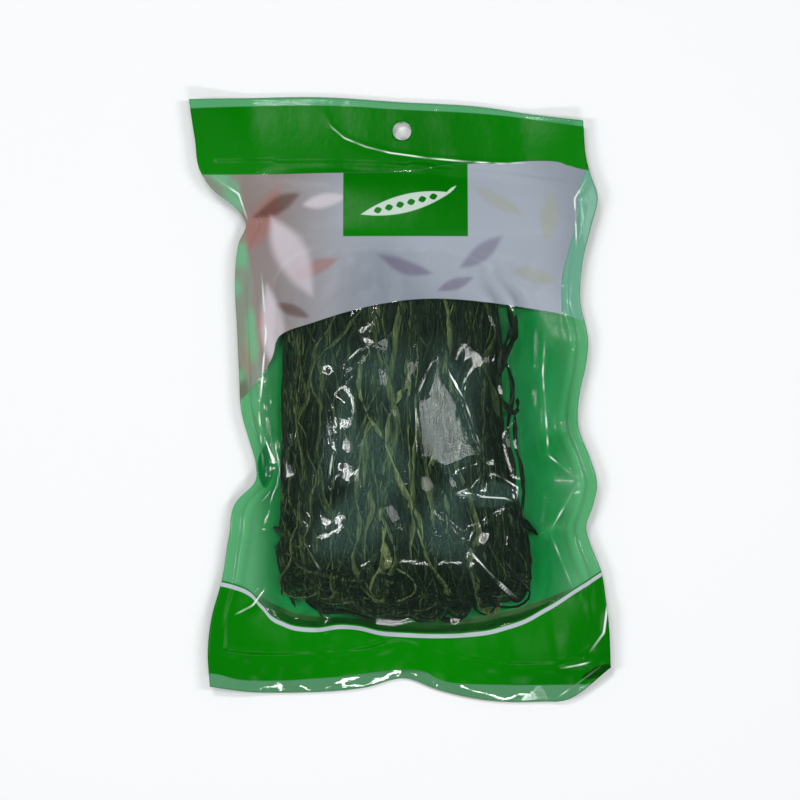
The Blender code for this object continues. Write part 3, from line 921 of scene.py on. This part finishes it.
# Creases that the film has kept, in millimetres: how far each stands up, its width and its line.
CREASES = [
    (0.9, 2.4, [(16.2, 21.6), (28.4, 0), (36.9, -24.8)]),
    (0.6, 2.4, [(16.2, 21.6), (6.8, 0)]),
    (0.8, 1.6, [(23.4, -41.7), (31.5, -38.5), (38.6, -30.8)]),
    (0.9, 1.6, [(38.6, -30.8), (52.3, -38.8), (51.9, -45.9)]),
    (0.9, 1.6, [(23.4, -41.7), (46.7, -43.6), (51.9, -45.9)]),
    (0.9, 1.6, [(51.9, -45.9), (42, -52), (31.5, -58.5), (29.7, -65.3), (39.6, -76.5), (54, -90)]),
    (1, 2, [(-34.5, -1), (-32.4, -8), (-29.7, -23.4), (-31.5, -36)]),
    (0.7, 1.6, [(-47.3, -48.2), (-40.5, -55.8)]),
    (0.8, 1.6, [(-42.8, -62.6), (-34.8, -76.3)]),
    (1.1, 1.8, [(65.3, 33), (64, 12), (66.6, -24.8), (80.1, -36)]),
    (1, 1.8, [(80.1, -36), (67.1, -59), (77.9, -85.5)]),
    (1, 2.2, [(-62.1, 58), (-60, 30), (-63, -6), (-61, -31.5)]),
    (-0.7, 1.6, [(15.3, -46.4), (30.2, -59.7)]),
    (0.7, 1.8, [(-24.8, 15.8), (-18, 22.5), (-7.7, 23.9)]),
    (0.8, 2, [(-33.8, 128.3), (-31, 122.5), (-24.8, 117.2), (-15, 113.2), (-4.5, 110.6), (12, 108.3),
        (28, 106.8), (45, 105.8), (62, 106.5)]),
    (0.6, 1.4, [(40.5, -78.8), (50, -88)]),
    (0.5, 1.4, [(45, -69.8), (58.5, -85.5)]),
    (0.9, 2.2, [(-84, 100), (-72, 92), (-68, 80)]),
    (0.9, 2.2, [(84, 100), (78, 90), (79, 66)]),
    (0.9, 2, [(-74, -96), (-66, -92), (-60, -84)]),
    (1.3, 2.6, [(92.9, -90), (91.1, -104.1), (84.7, -112.9)]),
    (0.9, 1.4, [(71.8, -120.2), (79, -118.8), (86, -117)]),
    (-0.9, 1.6, [(80, -127), (87, -121), (92.6, -117.6)]),
    (0.8, 1.8, [(70, -134), (78, -128), (90, -119)]),
]
FAR = 1e9


def crease(points, rise, width, line):
    """Raises a sharp ridge along a line; gives each point's signed distance and share of it."""
    spots = np.array(line)
    x, y = points[..., 0] / MM, points[..., 1] / MM
    near = np.full(x.shape, FAR)
    run = np.zeros(x.shape)
    side = np.ones(x.shape)
    total = np.linalg.norm(np.diff(spots, axis=0), axis=1).sum()
    passed = 0.0
    for a, b in zip(spots[:-1], spots[1:]):
        length = np.linalg.norm(b - a)
        way = (b - a) / length
        t = np.clip((x - a[0]) * way[0] + (y - a[1]) * way[1], 0.0, length)
        away = np.hypot(x - a[0] - t * way[0], y - a[1] - t * way[1])
        run = np.where(away < near, passed + t, run)
        side = np.where(away < near, np.sign((y - a[1]) * way[0] - (x - a[0]) * way[1]), side)
        near = np.minimum(away, near)
        passed += length
    ends = unit(4.0 * np.minimum(run, total - run) / total + 0.25)
    points[..., 2] += rise * MM * np.exp(-near / width) * ends
    return near * side, unit(5.0 * np.minimum(run, total - run) / total)


def rippled(points):
    """Long soft ripples in the header and the foot, where the two webs lie together."""
    across, along = shares(points[..., 0], points[..., 1])
    x, y = points[..., 0] / MM, points[..., 1] / MM
    inside = unit(nearer_end(across) / 0.06)
    head = unit((along - HEADER_FOLD + 0.02) / 0.04) * unit((1.0 - along) / 0.03)
    foot = unit((HEM + 0.10 - along) / 0.06) * unit(along / 0.02)
    waves = np.sin(x / 3.1 + 0.9 * np.sin(y / 9.0)) + 0.7 * np.sin(x / 5.3 + y / 14.0 + 1.0)
    points[..., 2] += 0.10 * MM * inside * head * (1.4 + waves)
    points[..., 2] += 0.22 * MM * inside * foot * (1.5 + np.sin(x / 4.4 + y / 11.0) + 0.5 * np.sin(x / 1.9))
    hem = unit((HEM - along) / 0.02) * unit(along / 0.01)
    crumple = soft_noise(x.shape, (x.shape[0] // 4, x.shape[1] // 4), FILM_SEED + 20)
    points[..., 2] += 0.35 * MM * inside * hem * (1.0 + crumple)


# Flat facets that the film spans between creases, in millimetres, with the slopes of each.
FACETS = [
    ((-0.071, -0.059), [(16.2, 21.6), (28.4, 0), (36.9, -24.8), (20, -31), (9, -26), (6.8, 0)]),
    ((-0.085, -0.055), [(-33.8, -3), (-30.4, -4), (-28.2, -24), (-31, -37), (-33, -24)]),
    ((-0.08, -0.05), [(-26, 17), (-18, 23), (-8, 24.5), (-20, 12), (-25, 8)]),
    ((-0.075, -0.06), [(-50, -14), (-46.5, -12), (-46, -19), (-48, -22)]),
]
FACET_EDGE = 1.3
FACET_SINK = 0.5 * MM


def facet(points, slopes, corners):
    """Stretches the film flat inside a polygon, a little below its highest point there."""
    x, y = points[..., 0] / MM, points[..., 1] / MM
    inside = np.full(x.shape, FAR)
    spots = np.array(corners)
    for a, b in zip(spots, np.roll(spots, -1, axis=0)):
        way = (b - a) / np.linalg.norm(b - a)
        inside = np.minimum(inside, (x - a[0]) * way[1] - (y - a[1]) * way[0])
    share = unit(inside / FACET_EDGE + 0.5)
    middle = spots.mean(axis=0)
    level = slopes[0] * (x - middle[0]) * MM + slopes[1] * (y - middle[1]) * MM
    base = (points[..., 2] - level)[inside > 0.0].max() - FACET_SINK
    points[..., 2] += share * (base + level - points[..., 2])


front_points = laid_film()
rippled(front_points)
for slopes, corners in FACETS:
    facet(front_points, slopes, corners)

# Painted highlights: thin white lines along the sharp creases. The distance to the nearest, in its own
# widths, and how strongly.
GLINT_WIDTH = 0.5
GLINT_REACH = 1.9
nearest = np.full(front_points.shape[:2], 9.0)
glint_gap, glint_share = nearest.copy(), np.zeros_like(nearest)
for rise, width, line in CREASES:
    gap, share = crease(front_points, rise, width, line)
    closer = (np.abs(gap) < nearest) & (rise > 0.0)
    nearest = np.where(closer, np.abs(gap), nearest)
    share = share * min(1.0, 0.2 + rise) * unit(2.0 * (GLINT_REACH - np.abs(gap)))
    glint_gap = np.where(closer, gap / (GLINT_WIDTH * (0.5 + 0.7 * rise)), glint_gap)
    glint_share = np.where(closer, share, glint_share)

HEADER_LINE = [
    (-95, 101), (-88.7, 100.8), (-24.8, 101.7), (0, 102.2), (31.5, 105.8), (40.5, 105.8), (63.9, 107.1),
    (75, 105), (85.5, 102.6), (95, 102),
]
PANEL_FOOT = [
    (-95, -20), (-79, -8), (-71.1, 0), (-63, 9.5), (-56.7, 20.3), (-55.4, 26.1), (-52.2, 29.7),
    (-37.4, 34.7), (-22.5, 39.2), (-6.3, 42.8), (8.6, 44.6), (24.3, 44.6), (40.5, 43.2), (55.4, 41.4),
    (72.5, 38.3), (83.7, 34.7), (95, 31),
]
FOOT_LINE = [
    (-95, -80), (-80.1, -82.4), (-69.8, -85.5), (-62.1, -92.7), (-54, -99.9), (-40.5, -103.1),
    (-24.8, -101.7), (-4.5, -104.9), (31.5, -105.3), (49.5, -101.7), (65.3, -94.5), (78.8, -85.5),
    (90.9, -77.4), (97, -73),
]
HEM_LINE = [
    (-95, -122), (-84.6, -122.4), (-63.9, -126), (-32.9, -124.7), (-3.2, -121.5), (4.1, -121.1),
    (16.7, -125.1), (28.8, -127.4), (81.9, -127.4), (94.1, -120.2), (97, -118),
]
PANEL_RIGHT = [
    (30, 72.5), (38.7, 72.5), (53.1, 72.5), (65.7, 75.2), (80.1, 78.8), (92.7, 79.7), (100, 82),
    (110, 86),
]
TOP_HEM_LINE = [(-95, 130.4), (-36, 132.2), (0, 130.4), (36.7, 128.5), (82, 122.4), (95, 121)]
LINE_SOFT = 0.25
STRIPE_EDGE, STRIPE_FULL, ABOVE_FOOT = 1.1, 0.8, (1.9, 1.6)
TAB_LEFT, TAB_RIGHT, TAB_FOOT, TAB_SOFT = -25.6, 30.5, 72.6, 0.5

# Where the film is veiled along its rim, from none to all, and where its gloss fades out.
RIM_LEFT, RIM_RIGHT = (-52.0, -68.0), (66.0, 82.0)
RIM_FOOT, RIM_HEAD = (-116.0, -124.0), (118.0, 128.0)
COAT_LEFT, COAT_RIGHT, COAT_HEAD = (-66.0, -54.0), (66.0, 50.0), (126.0, 118.0)


def leaf_print_group():
    """A shader node group: a leaf or pod shape as a mask, at a place, a turn and a size."""
    nodes, given = new_group(
        "leaf print", "ShaderNodeTree",
        {"Place": "Vector", "Centre": "Vector", "Turn": "Float", "Half length": "Float",
         "Half width": "Float", "Softness": "Float"},
        {"Mask": "Float", "Along": "Float", "Aside": "Float"})
    moved = {0: given["Place"], 1: given["Centre"]}
    moved = nodes.put("ShaderNodeVectorMath", moved, operation="SUBTRACT")[0]
    spin = {"Vector": moved, "Angle": given["Turn"]}
    spun = nodes.put("ShaderNodeVectorRotate", spin, rotation_type="Z_AXIS")[0]
    apart = nodes.put("ShaderNodeSeparateXYZ", {0: spun})
    u = nodes.math("DIVIDE", apart[0], given["Half length"])
    aside = nodes.math("ABSOLUTE", apart[1])
    inside = nodes.less(nodes.less(1.0, nodes.times(u, u)), nodes.math("DIVIDE", aside, given["Half width"]))
    mask = nodes.ramp(inside, 0.0, given["Softness"], how="LINEAR")
    nodes.put("NodeGroupOutput", {"Mask": mask, "Along": apart[0], "Aside": aside})
    return nodes.tree


# The panel's picture: soft leaves, in millimetres and degrees: centre, turn, half length, half width.
PANEL_LEAVES = [
    ((150, 104, 98), 0.85, [(-62, 80, 62, 20, 8), (-66, 24, 74, 19, 6), (-38, 58, 20, 13, 5)]),
    ((84, 54, 44), 0.9, [(-55, 87, 24, 14, 4.6), (-71, 4, 100, 14, 4.4), (-48, 40, -24, 10, 3.4)]),
    ((206, 198, 206), 0.85, [(-48, 64, 118, 24, 9), (-57, 32, 96, 22, 7), (-34, 88, 10, 11, 4.4)]),
    ((96, 84, 112), 0.75, [(36, 66, 34, 14, 4.8), (2, 60, -18, 15, 4.2), (24, 52, 24, 10, 3.2)]),
    ((150, 154, 138), 0.8, [(66, 82, 80, 13, 5.4), (44, 88, -30, 14, 4.4), (60, 56, -14, 12, 3.8)]),
]
# The tab's plain figure: one pod with its stalk, and the row of beans in it.
TAB_POD = [(2.5, 87.6, 14, 21, 4.2), (22.6, 93.6, 40, 3.4, 0.7)]
BEAN_PITCH, BEAN_LENGTH, BEAN_WIDTH, BEANS_REACH = 5.1, 2.0, 1.6, 15.3
# Where the film lies double, with the shade of its fold painted darker, in the same way.
DOUBLE_SHADED_FILM = [(-60, -29.7, 88, 11, 4.2), (88.2, -121.6, 24, 8.5, 2.4)]
# Flat places where the painted glare is strongest, in the same way.
GLARE_FACETS = [(22, -8, 96, 34, 14), (40, -42, 4, 16, 7), (-24, -14, 88, 26, 6)]
# The part over the beans' middle that has painted glare in patches: where it fades in and out.
GLARE_ACROSS, GLARE_ALONG = ((-46, -30), (27, 43)), ((-88, -66), (14, 34))


def smooth_step(values, low, high):
    s = unit((values - low) / (high - low))
    return s * s * (3.0 - 2.0 * s)


def in_leaves(x, y, rows):
    """How far each place is inside the nearest of some leaf shapes: 1 in the middle, 0 at the edge."""
    inside = np.full(x.shape, -1.0)
    for x_at, y_at, turn, half_length, half_width in rows:
        cos, sin = math.cos(math.radians(turn)), math.sin(math.radians(turn))
        u = ((x - x_at) * cos + (y - y_at) * sin) / half_length
        v = ((y - y_at) * cos - (x - x_at) * sin) / half_width
        inside = np.maximum(inside, 1.0 - u * u - np.abs(v))
    return inside


def blend(share, a, b):
    return a + share[..., None] * (np.array(b) - a)


def panel_picture(x, y, wash):
    """The colour of the panel's soft picture at each place."""
    shape = x.shape
    u, v = (a + 1.6 * soft_noise(shape, (16, 12), FILM_SEED + 31 + k) for k, a in enumerate((x, y)))
    colour = np.zeros(shape + (4,)) + srgb(154, 162, 173)
    colour = blend(smooth_step(wash, 0.3, 0.8), colour, srgb(126, 134, 145))
    pink = (1.0 - smooth_step(x, -58.0, -8.0)) * (0.6 + 0.4 * wash)
    colour = blend(pink, colour, srgb(130, 116, 110))
    for tint, strength, rows in PANEL_LEAVES:
        shown = strength * (0.6 + 0.4 * wash) * smooth_step(in_leaves(u, v, rows), 0.0, 0.55)
        colour = blend(shown, colour, srgb(*tint))
    mottle = 0.25 + 0.65 * smooth_step(soft_noise(shape, (34, 24), FILM_SEED + 33), -0.3, 0.3)
    return blend(mottle * (1.0 - smooth_step(x + 0.12 * y, -61.5, -59.0)), colour, srgb(104, 168, 128))


def film_values():
    """What the front web's print, painted glare, painted fold shade and painted highlights read at each of
    its points.
    """
    x, y = front_points[..., 0] / MM, front_points[..., 1] / MM
    wash = 0.5 + 0.5 * soft_noise(x.shape, (7, 5), FILM_SEED + 30)
    sparkle = np.clip(0.55 + 1.3 * soft_noise(x.shape, (64, 44), FILM_SEED + 34), 0.12, 1.0)
    # Painted glare: in patches over the beans' middle, and strongest on some flat places.
    middle = 1.0
    for at, (fade_in, fade_out) in ((x, GLARE_ACROSS), (y, GLARE_ALONG)):
        middle = middle * smooth_step(at, *fade_in) * (1.0 - smooth_step(at, *fade_out))
    patches = smooth_step(soft_noise(x.shape, (15, 12), FILM_SEED + 35), -0.5, 0.5)
    on_glare_facets = smooth_step(in_leaves(x, y, GLARE_FACETS), 0.0, 0.3)
    return {
        "picture": panel_picture(x, y, wash), "wash": wash, "painted_glare": np.maximum(middle * patches, on_glare_facets),
        "folded_and_shaded": in_leaves(x, y, DOUBLE_SHADED_FILM), "crease gap": glint_gap,
        "crease share": glint_share * sparkle,
    }


def print_material():
    """Clear film over the beans, with its printed header, tab, panel and foot, painted glare, painted fold
    shade and painted highlights along its creases.
    """
    material, nodes, shader, place = shader_for("front film")
    ramp, times, most, add = nodes.ramp, nodes.times, nodes.most, nodes.add
    crisp, x, y = nodes.group(millimetres, {"Place": place})

    def inverse(mask):
        return nodes.less(1.0, mask)

    def past(gap):
        return ramp(gap, -LINE_SOFT, LINE_SOFT)

    def over(knots):
        return nodes.less(y, line_curve(nodes, x, knots))

    over_header = past(over(HEADER_LINE))
    header = times(over_header, inverse(past(over(TOP_HEM_LINE))))
    tab = times(
        ramp(x, TAB_LEFT, TAB_LEFT + TAB_SOFT), ramp(x, TAB_RIGHT, TAB_RIGHT - TAB_SOFT),
        ramp(y, TAB_FOOT, TAB_FOOT + TAB_SOFT), inverse(over_header))
    field = times(past(over(PANEL_FOOT)), inverse(over_header))
    beside = past(nodes.less(line_curve(nodes, y, PANEL_RIGHT), x))
    panel, mint = times(field, beside), times(field, inverse(beside))
    foot_gap = over(FOOT_LINE)
    foot_line = ramp(nodes.math("ABSOLUTE", foot_gap), STRIPE_EDGE, STRIPE_FULL)
    foot = times(ramp(foot_gap, *ABOVE_FOOT), past(over(HEM_LINE)))
    green = most(header, tab, foot)
    printed = most(green, panel, foot_line)
    bare = inverse(printed)

    rim = most(ramp(x, *RIM_RIGHT), ramp(x, *RIM_LEFT), ramp(y, *RIM_FOOT), ramp(y, *RIM_HEAD))
    # Where the film lies double: less clear, and painted darker as the shade of its fold.
    folded_and_shaded = ramp(nodes.attribute("folded_and_shaded"), 0.0, 0.15)
    # Painted glare, grey, in streaks and grain, where the film reflects a dim light.
    painted_glare = nodes.attribute("painted_glare")
    streaks = ramp(nodes.noise(nodes.stretched(crisp, (1.0, 0.22, 0.0)), 1.4, 2.0, 0.7), 0.42, 0.72)
    glare_grain = ramp(nodes.noise(crisp, 2.0, 1.0), 0.45, 0.8)
    # Painted highlights: thin white lines along the creases, stronger in sparkling stretches.
    creased = ramp(nodes.math("ABSOLUTE", nodes.attribute("crease gap")), 1.0, 0.2)
    glint = times(creased, nodes.attribute("crease share"))

    leaf_print = leaf_print_group()
    leaves = [
        nodes.group(leaf_print, {
            "Place": crisp, "Centre": (x_at, y_at, 0.0), "Turn": -math.radians(turn),
            "Half length": half_length, "Half width": half_width, "Softness": 0.08,
        })
        for x_at, y_at, turn, half_length, half_width in TAB_POD
    ]
    pod = most(*(leaf["Mask"] for leaf in leaves))
    along, aside = leaves[0]["Along"], leaves[0]["Aside"]
    step = nodes.less(nodes.math("FRACT", nodes.math("DIVIDE", along, BEAN_PITCH)), 0.5)
    step = nodes.math("DIVIDE", times(step, BEAN_PITCH), BEAN_LENGTH)
    seed = ramp(add(times(step, step), nodes.math("DIVIDE", aside, BEAN_WIDTH)), 1.0, 0.8)
    seed = times(seed, ramp(nodes.math("ABSOLUTE", along), BEANS_REACH + 0.1, BEANS_REACH))

    leaf_green = nodes.mix(nodes.attribute("wash"), srgb(0, 103, 0), srgb(3, 123, 1))
    colour = srgb(20, 46, 30)
    for mask, tint in (
        (rim, srgb(124, 200, 150)), (panel, nodes.attribute("picture", "Color")),
        # The fold's painted shade darkens the bare film and the green print.
        (mint, srgb(126, 184, 164)), (folded_and_shaded, srgb(0, 92, 44)),
        (green, nodes.mix(folded_and_shaded, leaf_green, srgb(0, 64, 0))),
        (times(tab, pod, inverse(seed)), srgb(186, 204, 192)), (foot_line, srgb(176, 184, 192)),
        # Painted glare where the film is bare, then painted highlights along the creases.
        (times(painted_glare, bare, 0.85), srgb(98, 140, 130)), (glint, srgb(222, 234, 226)),
    ):
        colour = nodes.mix(mask, colour, tint)

    layer = nodes.put("ShaderNodeLayerWeight", {"Blend": 0.35})["Fresnel"]
    # The painted glare also makes the bare film less clear, in streaks and grain.
    veil = most(
        add(0.12, times(rim, 0.26), times(layer, 0.5)), times(mint, 0.62), times(folded_and_shaded, 0.55),
        times(painted_glare, add(0.02, times(streaks, 0.27), times(glare_grain, 0.4))))
    coat = times(bare, ramp(y, *COAT_HEAD), ramp(x, *COAT_RIGHT), ramp(x, *COAT_LEFT))
    normal = crinkled_normal(nodes, place, 130.0, 0.09, 0.2)
    nodes.fill(shader, {
        "Base Color": colour, "Alpha": most(printed, glint, nodes.math("MINIMUM", veil, 1.0)),
        "Roughness": ramp(printed, 0.0, 1.0, 0.12, 0.28), "IOR": FILM_IOR, "Specular IOR Level": 0.07,
        "Normal": normal, "Coat Weight": most(coat, times(bare, 0.12)), "Coat IOR": 2.0,
        "Coat Roughness": 0.05, "Coat Normal": normal,
    })
    return material


front_print = print_material()
front_inside, inside_nodes, inside_shader, _ = shader_for("front film inside")
inside_nodes.fill(inside_shader, {"Base Color": srgb(120, 170, 135), "Roughness": 0.3, "Alpha": 0.02})
front_mesh = grid_mesh("front_web", front_points, film_values())
front_web = piece_from("front_web", front_mesh, front_print, front_inside)
film_thickness(front_web)
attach(front_web, "root")
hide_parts("front_film")


# The studio: a pale floor, soft lights and a camera straight above.
# The lights are oval and face the pouch.

CAMERA_HEIGHT = 1.2
VIEW_WIDTH = 0.36
SENSOR_WIDTH = 36.0
FLOOR = 3.0

floor_mesh = bpy.data.meshes.new("floor")
corners = [(-FLOOR, -FLOOR, 0), (FLOOR, -FLOOR, 0), (FLOOR, FLOOR, 0), (-FLOOR, FLOOR, 0)]
floor_mesh.from_pydata(corners, [], [(0, 1, 2, 3)])
floor_material, floor_nodes, floor_shader, _ = shader_for("pale floor")
floor_nodes.fill(floor_shader, {"Base Color": (0.86, 0.87, 0.88, 1.0), "Roughness": 0.9})
floor = piece_from("floor", floor_mesh, floor_material)

# Each oval light's place and size in metres, and its power in watts.
for name, at, size, power in (
    ("zenith light", (0.26, 0.20, 1.7), (0.30, 0.30), 1.7),
    ("top light", (-0.30, 0.72, 1.35), (0.55, 0.16), 7.0),
    ("right light", (0.80, 0.15, 1.2), (0.16, 0.6), 6.0),
    ("left light", (-0.85, -0.1, 1.2), (0.16, 0.6), 6.5),
    ("foot light", (0.2, -0.95, 1.2), (0.6, 0.16), 5.5),
):
    light = bpy.data.lights.new(name, "AREA")
    light.shape = "ELLIPSE"
    light.size, light.size_y = size
    light.energy = power
    lamp = bpy.data.objects.new(name, light)
    bpy.context.scene.collection.objects.link(lamp)
    lamp.location = at
    lamp.rotation_euler = (-Vector(at)).to_track_quat("-Z", "Y").to_euler()

world = bpy.data.worlds.new("studio")
world.use_nodes = True
background = world.node_tree.nodes["Background"]
background.inputs["Color"].default_value = (0.95, 0.98, 1.0, 1.0)
background.inputs["Strength"].default_value = 0.16
bpy.context.scene.world = world
bpy.context.scene.view_settings.view_transform = "Standard"

camera_data = bpy.data.cameras.new("camera")
camera_data.sensor_width = SENSOR_WIDTH
camera_data.lens = SENSOR_WIDTH * CAMERA_HEIGHT / VIEW_WIDTH
camera = bpy.data.objects.new("camera", camera_data)
camera.location = (-CENTRE_X, -CENTRE_Y, CAMERA_HEIGHT)
bpy.context.scene.collection.objects.link(camera)
bpy.context.scene.camera = camera
